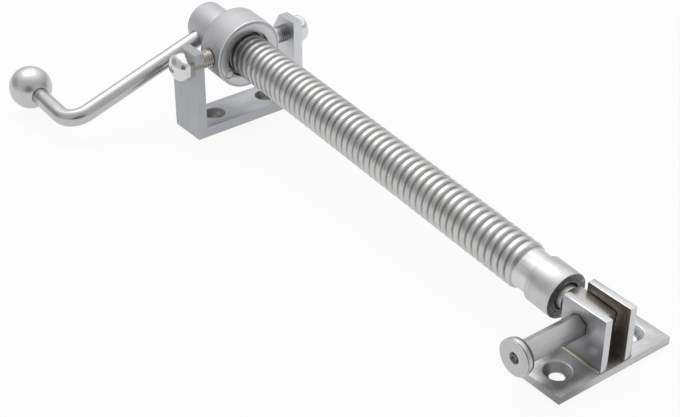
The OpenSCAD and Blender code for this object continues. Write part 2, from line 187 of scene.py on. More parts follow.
start_clean()
heading = (lamp_aim - lamp_place).to_track_quat("-Z", "Y").to_euler()
bpy.ops.object.light_add(type="AREA", location=lamp_place, rotation=heading)
lamp = bpy.context.object
lamp.name = "lamp_over"
lamp.data.shape = "RECTANGLE"
lamp.data.size = lamp_wide
lamp.data.size_y = lamp_tall
lamp.data.energy = lamp_watts

# Wall bracket: a U of 6 mm stainless flat bar with square corners. Its rear top
# corners are sloped off, its foot is countersunk for two screws, and its cheeks are
# tapped for the pivot screws. Ground satin all over, with the edges just broken.
pivot = Vector((2, 0, 44)) * MM
at_pivot = Matrix.Translation(pivot)
wall_half_deep = 12
wall_half_wide = 37
wall_metal = 6
wall_inside = wall_half_wide - wall_metal
wall_top = 54
slope_run = 9.4
slope_drop = 15
wall_holes_at = 18
wall_hole_r = 3.3
wall_sink_r = 6.4
pivot_hole_r = 5.02
quarter = math.radians(90)
# How near a cut a point counts as on it, and how near points are merged.
fine_cut = 0.0005
merge_within = 0.001


def move(x, y, z):
    """A shift by so many millimetres."""
    return Matrix.Translation((x * MM, y * MM, z * MM))


def swing(axis, angle=quarter):
    """A turn about an axis, of a quarter unless said."""
    return Matrix.Rotation(angle, 4, axis)


def named(name):
    """The primitive that was just added, under its own name."""
    piece = bpy.context.object
    piece.name = name
    piece.data.name = name
    return piece


def only(piece):
    """One piece selected and active."""
    start_clean()
    piece.select_set(True)
    bpy.context.view_layer.objects.active = piece


def edit(piece):
    """Edit mode on one piece, with all of it selected."""
    only(piece)
    bpy.ops.object.mode_set(mode="EDIT")
    bpy.ops.mesh.select_mode(type="VERT")
    bpy.ops.mesh.select_all(action="SELECT")


def end_edit():
    """Back to object mode, with the piece as it is."""
    bpy.ops.object.mode_set(mode="OBJECT")


def face_out():
    """In edit mode, turns all faces outwards, and ends it."""
    bpy.ops.mesh.select_all(action="SELECT")
    bpy.ops.mesh.normals_make_consistent(inside=False)
    end_edit()


def merge(within=merge_within):
    """In edit mode, merges the doubled points."""
    bpy.ops.mesh.select_all(action="SELECT")
    bpy.ops.mesh.remove_doubles(threshold=within * MM)


def settle(piece, place):
    """Takes a piece from the origin, where it was built, to its place for good."""
    only(piece)
    piece.matrix_world = place
    bpy.ops.object.transform_apply(location=True, rotation=True, scale=True)
    return piece


def pick(piece, test):
    """In edit mode, selects the faces that pass a test of their middle, in millimetres,
    and their normal."""
    bpy.ops.mesh.select_mode(type="FACE")
    bpy.ops.mesh.select_all(action="DESELECT")
    mesh = bmesh.from_edit_mesh(piece.data)
    mesh.normal_update()
    for face in mesh.faces:
        face.select_set(bool(test(face.calc_center_median() / MM, face.normal)))
    mesh.select_flush_mode()
    bmesh.update_edit_mesh(piece.data)


def pull_out(x, y, z):
    """In edit mode, extrudes what is selected by so many millimetres."""
    bpy.ops.mesh.extrude_region_move(
        TRANSFORM_OT_translate={"value": (x * MM, y * MM, z * MM)})


def saw(place, way, off=None):
    """In edit mode, saws along a plane that faces some way. Its outer or inner side
    comes off, if said, and the cut is closed."""
    bpy.ops.mesh.select_all(action="SELECT")
    bpy.ops.mesh.bisect(
        plane_co=[v * MM for v in place], plane_no=Vector(way).normalized(),
        threshold=fine_cut * MM, clear_outer=off == "outer", clear_inner=off == "inner",
        use_fill=off is not None)


def modify(piece, kind, **settings):
    """Adds a modifier and applies it."""
    only(piece)
    modifier = piece.modifiers.new(kind.lower(), kind)
    for key, value in settings.items():
        setattr(modifier, key, value)
    bpy.ops.object.modifier_apply(modifier=modifier.name)


def cut_by(piece, cutter, operation="DIFFERENCE"):
    """Cuts a piece with another solid, or joins or crosses the two."""
    modify(piece, "BOOLEAN", object=cutter, operation=operation, solver="EXACT")
    bpy.data.objects.remove(cutter)


def smooth(piece, angle=33):
    """Smooth shading over what is round, sharp over what is not."""
    only(piece)
    bpy.ops.object.shade_smooth_by_angle(angle=math.radians(angle))


def break_edges(piece, width, angle=29):
    """Breaks the sharp edges of a piece, by a width in millimetres."""
    modify(
        piece, "BEVEL", width=width * MM, segments=2, limit_method="ANGLE",
        angle_limit=math.radians(angle), use_clamp_overlap=True)
    smooth(piece)


def carry_on(stations, along, radius):
    """In edit mode, extrudes and scales the selected ring through more stations."""
    for z, r in stations:
        pull_out(0, 0, z - along)
        bpy.ops.transform.resize(
            value=(r / radius, r / radius, 1), center_override=(0, 0, z * MM))
        along, radius = z, r


def turned(name, stations, sides=96, ring=False):
    """A turned piece about the origin's Z: a circle carried on through stations of
    (place along Z, radius), all in millimetres. A ring comes back to its start."""
    start_clean()
    along, radius = stations[0]
    bpy.ops.mesh.primitive_circle_add(
        vertices=sides, radius=radius * MM, fill_type="NOTHING" if ring else "NGON")
    piece = named(name)
    edit(piece)
    bpy.ops.transform.translate(value=(0, 0, along * MM))
    carry_on(stations[1:] + (stations[:1] if ring else []), along, radius)
    merge()
    face_out()
    return piece


def bore(piece, radius, low, high, place=Matrix.Identity(4), sides=72):
    """Drills a hole along Z of a frame, from low to high in millimetres."""
    cut_by(piece, settle(turned("drill", [(low, radius), (high, radius)], sides), place))


def countersink(piece, x, y, top, hole_r, sink_r):
    """Drills a countersunk hole down from a face at a height, in millimetres."""
    past = 20
    cutter = turned("sink", [
        (top - past, hole_r), (top - (sink_r - hole_r), hole_r), (top, sink_r),
        (top + past, sink_r)], sides=72)
    cut_by(piece, settle(cutter, move(x, y, 0)))


def slab(name, low, high):
    """A cube primitive between two corners, in millimetres."""
    start_clean()
    low, high = (Vector([v * MM for v in corner]) for corner in (low, high))
    bpy.ops.mesh.primitive_cube_add(size=1, location=(low + high) / 2)
    piece = named(name)
    piece.scale = high - low
    bpy.ops.object.transform_apply(location=True, rotation=True, scale=True)
    return piece


def hand_over(piece, material, body, node):
    """Gives a finished piece its material, its body and the node it stands for."""
    piece.data.materials.clear()
    piece.data.materials.append(material)
    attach(piece, body)
    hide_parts(node)


def effect(name, inputs, outputs):
    """A node group with only its inputs, as label and value, and its outputs. An
    input with no value is a vector."""
    group = bpy.data.node_groups.new(name, "ShaderNodeTree")
    for label, value in inputs.items():
        kind = "NodeSocketVector" if value is None else "NodeSocketFloat"
        made = group.interface.new_socket(name=label, in_out="INPUT", socket_type=kind)
        if value is not None:
            made.default_value = value
    for label in outputs:
        group.interface.new_socket(name=label, in_out="OUTPUT", socket_type="NodeSocketFloat")
    return group, group.nodes.new("NodeGroupInput"), group.nodes.new("NodeGroupOutput")


def plus(tree, first, second):
    """One value and another."""
    return sum_up(tree, "ADD", first, second)


def minus(tree, first, second):
    """One value less another."""
    return sum_up(tree, "SUBTRACT", first, second)


def apart(tree, vector):
    """The X, Y and Z of a vector."""
    node = tree.nodes.new("ShaderNodeSeparateXYZ")
    tree.links.new(vector, node.inputs[0])
    return node.outputs


def join(tree, *parts):
    """A vector from its X, Y and Z."""
    node = tree.nodes.new("ShaderNodeCombineXYZ")
    for part, socket in zip(parts, node.inputs):
        tree.links.new(part, socket)
    return node.outputs[0]


def from_axis(tree, x, y):
    """How far a point is from the Z axis."""
    return sum_up(tree, "SQRT", plus(tree, times(tree, x, x), times(tree, y, y)))


def noise(tree, vector, scale, detail, rough=0.55):
    """A Noise Texture node."""
    node = tree.nodes.new("ShaderNodeTexNoise")
    node.inputs["Detail"].default_value = detail
    node.inputs["Roughness"].default_value = rough
    tree.links.new(vector, node.inputs["Vector"])
    plug(tree, scale, node.inputs["Scale"])
    return node.outputs["Fac"]


def weave_grain(tree, entry, leave, streaky, fine):
    """Puts out a blend of streaks, from stretched coordinates, and slow clouds, then
    the clouds, then the streaks."""
    streak_share = 0.55
    streaks = noise(tree, streaky, fine, detail=5, rough=0.7)
    clouds = noise(tree, entry.outputs["Vector"], entry.outputs["Cloud"], detail=2)
    tone = plus(tree, times(tree, streaks, streak_share), times(tree, clouds, 1 - streak_share))
    made = spread(tree, tone, 0.34, 0.66), spread(tree, clouds, 0.3, 0.7), streaks
    for value, socket in zip(made, leave.inputs):
        tree.links.new(value, socket)


# Grain of the U: streaks up and down its cheeks, and along its foot.
leg_grain, entry, leave = effect(
    "leg_grain",
    {"Vector": None, "Fine": 1.0, "Long": 0.04, "Cloud": 70.0, "Inner": wall_inside * MM},
    ["Tone", "Handling", "Height"])
x, y, z = apart(leg_grain, entry.outputs["Vector"])
on_cheek = sum_up(
    leg_grain, "GREATER_THAN", sum_up(leg_grain, "ABSOLUTE", y), entry.outputs["Inner"])
off_cheek = minus(leg_grain, 1, on_cheek)
longer = minus(leg_grain, 1, entry.outputs["Long"])
stretched = [
    times(leg_grain, part, plus(
        leg_grain, entry.outputs["Long"], times(leg_grain, longer, across_it)))
    for part, across_it in ((y, on_cheek), (z, off_cheek))]
weave_grain(leg_grain, entry, leave, join(leg_grain, x, *stretched), entry.outputs["Fine"])

# Grain that a belt leaves on flat bar: streaks along X of the piece's own frame.
belt_grain, entry, leave = effect(
    "belt_grain", {"Vector": None, "Fine": 1.0, "Long": 0.06, "Cloud": 70.0},
    ["Tone", "Handling", "Height"])
x, y, z = apart(belt_grain, entry.outputs["Vector"])
streaky = join(belt_grain, times(belt_grain, x, entry.outputs["Long"]), y, z)
weave_grain(belt_grain, entry, leave, streaky, entry.outputs["Fine"])

# Darkening where a piece is thinner than a given radius, about Z of a frame: dirt in some
# places, painted shade in others.
hollow_dirt_and_shade, entry, leave = effect(
    "hollow_dirt_and_shade", {"Vector": None, "Bare": 1.0, "Darkest": 0.0, "Most": 0.8, "Until": 1.0},
    ["Mask"])
x, y, z = apart(hollow_dirt_and_shade, entry.outputs["Vector"])
bare_r = entry.outputs["Bare"]
share = spread(hollow_dirt_and_shade, sum_up(
    hollow_dirt_and_shade, "DIVIDE", minus(hollow_dirt_and_shade, from_axis(hollow_dirt_and_shade, x, y), bare_r),
    minus(hollow_dirt_and_shade, entry.outputs["Darkest"], bare_r)), 0, 1)
patchy = noise(hollow_dirt_and_shade, entry.outputs["Vector"], 60, detail=3)
patchy = spread(hollow_dirt_and_shade, patchy, 0.3, 0.6, 0.65, 1)
before = sum_up(hollow_dirt_and_shade, "LESS_THAN", z, entry.outputs["Until"])
most = times(hollow_dirt_and_shade, entry.outputs["Most"], times(hollow_dirt_and_shade, patchy, before))
hollow_dirt_and_shade.links.new(times(hollow_dirt_and_shade, share, most), leave.inputs[0])

# A band of another colour between two places along Z of a frame, with soft ends and light
# specks in it: stains in some places, painted highlights and painted shade in others.
band_of_stain_and_light, entry, leave = effect(
    "band_of_stain_and_light",
    {"Vector": None, "From": 0.0, "To": 1.0, "Soft": 1.0, "Most": 0.9, "Speck": 400.0,
     "Spared": 0.3},
    ["Mask"])
along = apart(band_of_stain_and_light, entry.outputs["Vector"])[2]
inside = sum_up(
    band_of_stain_and_light, "MINIMUM", minus(band_of_stain_and_light, along, entry.outputs["From"]),
    minus(band_of_stain_and_light, entry.outputs["To"], along))
share = spread(band_of_stain_and_light, sum_up(
    band_of_stain_and_light, "DIVIDE", inside, entry.outputs["Soft"]), 0, 1)
specks = noise(
    band_of_stain_and_light, entry.outputs["Vector"], entry.outputs["Speck"], detail=2, rough=0.7)
specks = minus(band_of_stain_and_light, 1, spread(band_of_stain_and_light, specks, 0.34, 0.46))
kept = minus(band_of_stain_and_light, 1, times(band_of_stain_and_light, entry.outputs["Spared"], specks))
most = times(band_of_stain_and_light, entry.outputs["Most"], kept)
band_of_stain_and_light.links.new(times(band_of_stain_and_light, share, most), leave.inputs[0])


def add_marks(tree, group, place, settings):
    """Adds an effect to a material, in a frame of the piece's own."""
    where = tree.nodes.new("ShaderNodeTexCoord")
    mapping = tree.nodes.new("ShaderNodeMapping")
    mapping.vector_type = "TEXTURE"
    mapping.inputs["Location"].default_value = place.to_translation()
    mapping.inputs["Rotation"].default_value = place.to_euler()
    tree.links.new(where.outputs["Object"], mapping.inputs["Vector"])
    marks = tree.nodes.new("ShaderNodeGroup")
    marks.node_tree = group
    for label, value in settings.items():
        marks.inputs[label].default_value = value
    tree.links.new(mapping.outputs[0], marks.inputs["Vector"])
    return marks


def lay_over(tree, share, under, over, socket):
    """Feeds a socket with one colour or number, and another laid over it by a share."""
    mix = tree.nodes.new("ShaderNodeMix")
    below, above, result = 2, 3, 0
    if socket.type == "RGBA":
        mix.data_type = "RGBA"
        below, above, result = 6, 7, 2
    plug(tree, share, mix.inputs[0])
    plug(tree, under, mix.inputs[below])
    plug(tree, over, mix.inputs[above])
    tree.links.new(mix.outputs[result], socket)


grain_deep = 0.05


def bare_steel(name, place, grain, settings, dark, light, rough, depth, metallic=1):
    """Bare metal with a grain in the piece's own frame, between two tones."""
    material, tree, out = empty_material(name)
    shader = tree.nodes.new("ShaderNodeBsdfPrincipled")
    shader.inputs["Metallic"].default_value = metallic
    marks = add_marks(tree, grain, place, settings)
    lay_over(
        tree, marks.outputs["Tone"], (*dark, 1), (*light, 1), shader.inputs["Base Color"])
    handled = spread(tree, marks.outputs["Handling"], 0, 1, *rough)
    tree.links.new(handled, shader.inputs["Roughness"])
    bump = tree.nodes.new("ShaderNodeBump")
    bump.inputs["Strength"].default_value = depth
    bump.inputs["Distance"].default_value = grain_deep * MM
    tree.links.new(marks.outputs["Height"], bump.inputs["Height"])
    tree.links.new(bump.outputs[0], shader.inputs["Normal"])
    tree.links.new(shader.outputs[0], out.inputs["Surface"])
    return material


def lay_stain_and_light(material, place, mask, settings, colour, rough):
    """Lays another colour and roughness over a metal, by a mask: used for stains and dirt, and
    for painted highlights and painted shade.
    """
    tree = material.node_tree
    shader = next(node for node in tree.nodes if node.type == "BSDF_PRINCIPLED")
    share = add_marks(tree, mask, place, settings).outputs["Mask"]
    for label, value in (("Base Color", (*colour, 1)), ("Roughness", rough)):
        socket = shader.inputs[label]
        lay_over(tree, share, socket.links[0].from_socket, value, socket)


def lay_hollow_dirt_and_shade(material, place, bare_r, darkest_r, most, colour, rough, until=1000):
    """Darkens from a bare to a darkest radius about Z of a frame, in millimetres, as far
    along Z as until: dirt in some places, painted shade in others."""
    lay_stain_and_light(material, place, hollow_dirt_and_shade, {
        "Bare": bare_r * MM, "Darkest": darkest_r * MM, "Most": most, "Until": until * MM,
    }, colour, rough)


def lay_stain_and_light_band(material, place, low, high, soft, most, colour, rough, speck=400, spared=0.3):
    """A band of another colour from low to high along Z of a frame, in millimetres: stains in
    some places, painted highlights and painted shade in others.
    """
    lay_stain_and_light(material, place, band_of_stain_and_light, {
        "From": low * MM, "To": high * MM, "Soft": soft * MM, "Most": most,
        "Speck": speck, "Spared": spared,
    }, colour, rough)


wall = slab("wall_u_bracket", (-wall_half_deep, -wall_half_wide, 0),
            (wall_half_deep, wall_half_wide, wall_metal))
edit(wall)
for side in (-1, 1):
    saw((0, side * wall_inside, 0), (0, 1, 0))
pick(wall, lambda middle, normal: normal.z > 0.9 and abs(middle.y) > wall_inside)
pull_out(0, 0, wall_top - wall_metal)
saw((-wall_half_deep, 0, wall_top - slope_drop), (-slope_drop, 0, slope_run), "outer")
end_edit()
for side in (-1, 1):
    countersink(wall, 0, side * wall_holes_at, wall_metal, wall_hole_r, wall_sink_r)
across = at_pivot @ swing("X")
bore(wall, pivot_hole_r, -60, 60, across, sides=96)
break_edges(wall, 0.25)
satin_bar = bare_steel(
    "satin_flat_bar", Matrix.Identity(4), leg_grain, {"Fine": 1600},
    dark=(0.40, 0.41, 0.43), light=(0.50, 0.51, 0.53), rough=(0.42, 0.52), depth=0.12)
# Darker in the two countersinks, and a brown smear on the front of the near cheek.
for side in (-1, 1):
    lay_hollow_dirt_and_shade(satin_bar, move(0, side * wall_holes_at, 0), bare_r=6.3, darkest_r=5.8,
                 most=0.75, colour=(0.15, 0.145, 0.115), rough=0.5)
smear = Matrix.Translation((wall_half_deep * MM, 0, 46.2 * MM)) @ swing("X", -quarter)
lay_hollow_dirt_and_shade(satin_bar, smear, bare_r=2.1, darkest_r=0.4, most=0.6, until=0,
             colour=(0.25, 0.215, 0.155), rough=0.5)
# The far cheek is painted brighter than the near one, as painted light, and both are darker and
# duller on top.
lay_stain_and_light_band(satin_bar, swing("X", -quarter), low=25, high=45, soft=1, most=0.7, spared=0,
           colour=(0.76, 0.77, 0.79), rough=0.44)
lay_stain_and_light_band(satin_bar, Matrix.Identity(4), low=wall_top - 0.1, high=wall_top + 1, soft=0.08,
           most=0.6, speck=900, colour=(0.27, 0.27, 0.265), rough=0.55)
hand_over(wall, satin_bar, "wall_bracket", "wall_bracket")

# Pivot screws: two M10 stainless grub screws, right-handed, through the cheeks. Each
# has a turned dog point that carries the housing, and the thread shows beside it.
screw_r = 5.0
screw_root_r = 4.14
screw_pitch = 1.5
screw_turns = 18
screw_starts_before = 3
screw_shoulder = 21.1
screw_out = 42.0
dog_r = 4.0
dog_tip = 17.12
dog_chamfer = 0.5
dog_land = 0.72


def wound(name, outline, pitch, turns, steps):
    """A thread about the origin's Z: one pitch of outline, as (along, radius) points
    in millimetres, screwed up for a number of turns. It starts at local angle 0."""
    start_clean()
    bpy.ops.mesh.primitive_plane_add(size=1)
    piece = named(name)
    edit(piece)
    bpy.ops.mesh.delete(type="VERT")
    mesh = bmesh.from_edit_mesh(piece.data)
    line = [mesh.verts.new((r * MM, 0, z * MM)) for z, r in outline]
    for first, second in zip(line, line[1:]):
        mesh.edges.new((first, second))
    bmesh.update_edit_mesh(piece.data)
    end_edit()
    modify(
        piece, "SCREW", axis="Z", angle=2 * math.pi, screw_offset=pitch * MM,
        iterations=turns, steps=steps, render_steps=steps, use_merge_vertices=False,
        use_smooth_shade=True)
    edit(piece)
    merge(2 * merge_within)
    end_edit()
    return piece


def trim(piece, low, high):
    """Cuts a wound thread square at both ends, in millimetres, and closes it."""
    edit(piece)
    saw((0, 0, low), (0, 0, 1), "inner")
    saw((0, 0, high), (0, 0, 1), "outer")
    face_out()


# One pitch of the thread, from its crest to its root and back.
flank = screw_pitch / 2
outline = [
    (0, screw_r - 0.1), (0.1, screw_r), (0.25, screw_r - 0.02), (flank + 0.1, screw_root_r),
    (flank + 0.25, screw_root_r), (screw_pitch, screw_r - 0.1)]
outline = [(along + screw_shoulder - screw_starts_before, r) for along, r in outline]
screw = wound("pivot_screw_near", outline, screw_pitch, screw_turns, steps=48)
trim(screw, screw_shoulder, screw_out)
edit(screw)
pick(screw, lambda middle, normal: normal.z < -0.9 and abs(middle.z - screw_shoulder) < 0.01)
pull_out(0, 0, 0)
bpy.ops.transform.resize(
    value=(dog_land, dog_land, 1), center_override=(0, 0, screw_shoulder * MM))
end_edit()
cut_by(screw, turned("dog", [
    (dog_tip, dog_r - dog_chamfer), (dog_tip + dog_chamfer, dog_r),
    (screw_shoulder + 1, dog_r)], sides=72), "UNION")
smooth(screw, 40)
settle(screw, across)
screw_marks = {"Fine": 900, "Long": 1.0, "Cloud": 200}
warm_screw = bare_steel(
    "warm_screw_steel", across, belt_grain, screw_marks,
    dark=(0.66, 0.64, 0.61), light=(0.78, 0.76, 0.72), rough=(0.14, 0.22), depth=0.05)
lay_hollow_dirt_and_shade(warm_screw, across, bare_r=4.8, darkest_r=4.3, most=0.75,
             colour=(0.24, 0.20, 0.14), rough=0.4)
hand_over(screw, warm_screw, "wall_bracket", "pivot_screws")


def twin(piece, name, place=Matrix.Identity(4)):
    """A copy of a piece, with a mesh of its own, moved to its place. In a mirror
    image the faces are turned outwards again."""
    start_clean()
    copied = piece.copy()
    copied.data = piece.data.copy()
    copied.name = copied.data.name = name
    bpy.context.scene.collection.objects.link(copied)
    settle(copied, place)
    if place.determinant() < 0:
        edit(copied)
        face_out()
    return copied


# The far screw is a colder, darker copy of the near one's steel, as painted shade, with a
# painted highlight beside the housing and darker further out.
half_turn = at_pivot @ swing("Z", math.pi) @ Matrix.Translation(-pivot)
far_screw = twin(screw, "pivot_screw_far", half_turn)
bright_screw = bare_steel(
    "bright_screw_steel", across, belt_grain, screw_marks,
    dark=(0.48, 0.48, 0.49), light=(0.60, 0.60, 0.61), rough=(0.14, 0.22), depth=0.05)
lay_hollow_dirt_and_shade(bright_screw, across, bare_r=4.8, darkest_r=4.3, most=0.5,
             colour=(0.26, 0.26, 0.27), rough=0.4)
lay_stain_and_light_band(bright_screw, across, low=-25.5, high=-20, soft=1, most=0.85, spared=0,
           colour=(0.80, 0.80, 0.81), rough=0.35)
lay_stain_and_light_band(bright_screw, across, low=-32, high=-26.5, soft=1, most=0.6,
           colour=(0.16, 0.16, 0.16), rough=0.4)
hand_over(far_screw, bright_screw, "wall_bracket", "pivot_screws")

# Cap nuts: two low domed nuts turned from hexagon bar and polished, which lock the
# pivot screws. The end is ball-turned, so the dome runs down over the six flats.
nut_flats = 15.5
nut_skim_r = 8.5
nut_dome_from = 2.8
nut_tall = 9.5
nut_from = 37.02
nut_bore = 5.02
nut_bore_deep = 5.2
crown_r = 0.4
dome_step = 5


def hexagon_bar(name, flats, low, high):
    """A length of hexagon bar along the origin's Z, in millimetres."""
    start_clean()
    bpy.ops.mesh.primitive_cylinder_add(
        vertices=6, radius=flats / math.sqrt(3) * MM, depth=(high - low) * MM,
        location=(0, 0, (high + low) / 2 * MM))
    piece = named(name)
    bpy.ops.object.transform_apply(location=True, rotation=True, scale=True)
    return piece


nut = hexagon_bar("cap_nut_near", nut_flats, 0, nut_tall + 1)
dome = [(-1, nut_skim_r)]
for step in range(0, 90 + dome_step, dome_step):
    lift = math.radians(step)
    dome.append((nut_dome_from + (nut_tall - nut_dome_from) * math.sin(lift),
                 max(crown_r, nut_skim_r * math.cos(lift))))
cut_by(nut, turned("dome", dome, sides=120), "INTERSECT")
bore(nut, nut_bore, -1, nut_bore_deep)
break_edges(nut, 0.1, angle=24)
smooth(nut, 24)
polished = bare_steel(
    "polished_nut", at_pivot, belt_grain, {"Fine": 900, "Long": 1.0, "Cloud": 240},
    dark=(0.64, 0.64, 0.64), light=(0.74, 0.74, 0.73), rough=(0.12, 0.18), depth=0.03)
for piece, way in ((nut, 1), (twin(nut, "cap_nut_far"), -1)):
    settle(piece, at_pivot @ swing("X", way * quarter) @ move(0, 0, nut_from))
    hand_over(piece, polished, "wall_bracket", "cap_nuts")

# Nut housing: a turned stainless drum that pivots on the dog points. It is bored
# right through for the tube, counterbored for the drive nut, and cross-drilled.
# Fitted pieces have a clearance, here called fit.
fit = 0.02
tilt = math.radians(4.309758)
along_tube = at_pivot @ swing("Y", tilt)
on_tube = along_tube @ swing("Y")
housing_r = 21.0
housing_back = -9.5
housing_front = 9.0
housing_edge = 0.5
pocket_from = -6.0
pocket_r = 17.02
rim_from = 6.5
rim_pocket_r = 19.02
rear_hole_r = 12.6
dog_hole_r = 4.08
key_circle_r = 16.2
key_r = 2.3
key_from = 4.0
key_turn = math.radians(215)
key_place = swing("Z", key_turn + quarter) @ move(key_circle_r, 0, 0)
# Dark brown: oil round the key, painted shade round the dog points, and a dark line on the rear
# edge of the drum.
oil_and_shade = (0.12, 0.10, 0.075)

turned_grain, entry, leave = effect(
    "turned_grain", {"Vector": None, "Fine": 1.0, "Round": 18.0, "Cloud": 90.0},
    ["Tone", "Handling", "Height"])
x, y, z = apart(turned_grain, entry.outputs["Vector"])
fine = entry.outputs["Fine"]
round_it = entry.outputs["Round"]
streaky = join(
    turned_grain,
    plus(turned_grain, times(turned_grain, z, fine), times(turned_grain, x, round_it)),
    times(turned_grain, from_axis(turned_grain, x, y), fine),
    times(turned_grain, y, round_it))
weave_grain(turned_grain, entry, leave, streaky, 1.0)


def drill_for_key(piece):
    """The half hole that a piece has for the round key."""
    bore(piece, key_r + fit, key_from - fit, housing_front + 2, key_place, sides=64)


def oil_round_key(material):
    """The oily ring that shows round the key."""
    lay_hollow_dirt_and_shade(material, on_tube @ key_place, bare_r=key_r + 0.5, darkest_r=key_r + 0.35,
                 most=1.0, colour=oil_and_shade, rough=0.5)


housing = turned("nut_housing_drum", [
    (housing_back, rear_hole_r), (housing_back, housing_r), (housing_front, housing_r),
    (housing_front, rim_pocket_r), (rim_from - fit, rim_pocket_r), (rim_from - fit, pocket_r),
    (pocket_from, pocket_r), (pocket_from, rear_hole_r)], sides=128, ring=True)
break_edges(housing, housing_edge)
bore(housing, dog_hole_r, -30, 30, swing("X"))
drill_for_key(housing)
smooth(housing)
settle(housing, on_tube)
matt_steel = bare_steel(
    "matt_turned_steel", on_tube, turned_grain, {"Fine": 2600}, metallic=0.72,
    dark=(0.50, 0.50, 0.52), light=(0.60, 0.60, 0.62), rough=(0.58, 0.68), depth=0.20)
# A painted highlight on the front edge, a dark line on the rear edge, and painted shade round
# the dog points.
lay_stain_and_light_band(matt_steel, on_tube, low=housing_front - housing_edge, high=housing_front - 0.02,
           soft=0.08, most=0.9, spared=0, colour=(0.85, 0.85, 0.86), rough=0.25)
lay_stain_and_light_band(matt_steel, on_tube, low=housing_back + 0.04, high=housing_back + housing_edge,
           soft=0.06, most=0.8, colour=oil_and_shade, rough=0.5)
lay_hollow_dirt_and_shade(matt_steel, on_tube @ swing("X"), bare_r=6.4, darkest_r=5.2, most=0.8,
             colour=oil_and_shade, rough=0.5)
oil_round_key(matt_steel)
hand_over(housing, matt_steel, "nut_housing", "trunnion_housing")

# Drive nut: a turned steel bush with a thin rim, let into the housing from the front
# and keyed, with a turned recess round the tube where it enters.
nut_r = 17.0
rim_r = 19.0
nut_hole_r = 12.58
mouth_r = 14.0
mouth_floor = 5.0
bush = turned("drive_nut_bush", [
    (pocket_from + fit, nut_hole_r), (pocket_from + fit, nut_r), (rim_from, nut_r),
    (rim_from, rim_r), (housing_front, rim_r), (housing_front, mouth_r),
    (mouth_floor, mouth_r), (mouth_floor, nut_hole_r)], sides=128, ring=True)
break_edges(bush, 0.1)
drill_for_key(bush)
smooth(bush)
settle(bush, on_tube)
bush_steel = bare_steel(
    "drive_nut_steel", on_tube, turned_grain, {"Fine": 2200}, metallic=0.8,
    dark=(0.66, 0.66, 0.68), light=(0.75, 0.75, 0.77), rough=(0.50, 0.60), depth=0.12)
# Painted shade in and round the recess, off centre towards the side of the crank rod.
lay_hollow_dirt_and_shade(bush_steel, on_tube @ move(-1.4, -4.3, 0), bare_r=15.5, darkest_r=13.8, most=0.7,
             colour=(0.25, 0.25, 0.26), rough=0.5)
oil_round_key(bush_steel)
hand_over(bush, bush_steel, "nut_housing", "drive_nut")

# Locking key: a round steel key driven in half way between nut and housing, so the
# nut can't turn with the tube.
key = turned("round_nut_key", [(key_from, key_r), (housing_front, key_r)], sides=64)
break_edges(key, 0.15)
settle(key, on_tube @ key_place)
# The key's tone is darker than the bush's, as painted shade to match the shade round the
# recess.
key_steel = bare_steel(
    "round_key_steel", on_tube @ key_place, turned_grain, {"Fine": 2200},
    dark=(0.50, 0.50, 0.52), light=(0.58, 0.58, 0.60), rough=(0.46, 0.58), depth=0.10)
hand_over(key, key_steel, "nut_housing", "nut_key")

# Threaded tube: 25 mm stainless with a coarse right-handed thread, 4.7 mm a turn,
# with wide rounded ridges and narrow grooves. The groove fades out at both ends, and
# a turned neck goes into the end sleeve and a spigot into the crank hub.
tube_r = 12.5
tube_from = -10.0
tube_pitch = 4.7
tube_steps = 72
wound_turns = 57
groove_at = -3.6
groove_deep = 1.5
groove_turns = 52.34
groove_lead_in = 0.25
cone_from = 241.2
cone_from_r = 12.45
cone_to = 243.4
neck_r = 10.75
neck_to = 252.5
grip_r = 9.48
grip_to = 257.0
spigot_r = 8.0
spigot_from = -20.5
# Half a ridge: how far the surface has fallen, at each distance from the crest.
ridge = [
    (0, 0.01), (0.75, 0.04), (1.15, 0.13), (1.40, 0.3), (1.60, 0.66), (1.82, 1.12),
    (2.05, 1.42), (2.35, groove_deep)]
half_pitch = tube_pitch / 2
outline = [(along - half_pitch, fall) for along, fall in ridge]
outline += [(half_pitch - along, fall) for along, fall in ridge[-2::-1]]
first_groove = groove_at - tube_pitch / 4 - 2 * tube_pitch
outline = [(first_groove + along, tube_r - fall) for along, fall in outline]
tube = wound("threaded_tube", outline, tube_pitch, wound_turns, tube_steps)
# The groove is filled up beyond its real ends, and the tube coned down to its neck.
for vertex in tube.data.vertices:
    x, y, z = vertex.co
    radius = math.hypot(x, y) / MM
    part_turn = ((math.degrees(math.atan2(y, x)) - 90) % 360) / 360
    turn_number = round((z / MM - groove_at) / tube_pitch - part_turn) + part_turn
    to_end = min(turn_number, groove_turns - turn_number)
    grown = max(0, min(1, to_end / groove_lead_in))
    wanted = tube_r - (tube_r - radius) * grown
    down_cone = (z / MM - cone_from) / (cone_to - cone_from)
    if down_cone > 0:
        wanted = min(wanted, cone_from_r + (neck_r - cone_from_r) * min(1, down_cone))
    vertex.co = (x * wanted / radius, y * wanted / radius, z)
trim(tube, tube_from, cone_to)
edit(tube)
pick(tube, lambda middle, normal: normal.z > 0.99 and middle.z > cone_to - 0.01)
carry_on([(neck_to, neck_r), (neck_to, grip_r), (grip_to, grip_r)], cone_to, neck_r)
pick(tube, lambda middle, normal: normal.z < -0.99 and middle.z < tube_from + 0.01)
carry_on([(tube_from, spigot_r), (spigot_from, spigot_r)], tube_from, tube_r)
end_edit()
smooth(tube, 62)
settle(tube, on_tube)
thread_steel = bare_steel(
    "satin_thread_steel", on_tube, turned_grain, {"Fine": 2600},
    dark=(0.50, 0.50, 0.498), light=(0.635, 0.632, 0.625), rough=(0.27, 0.37), depth=0.08)
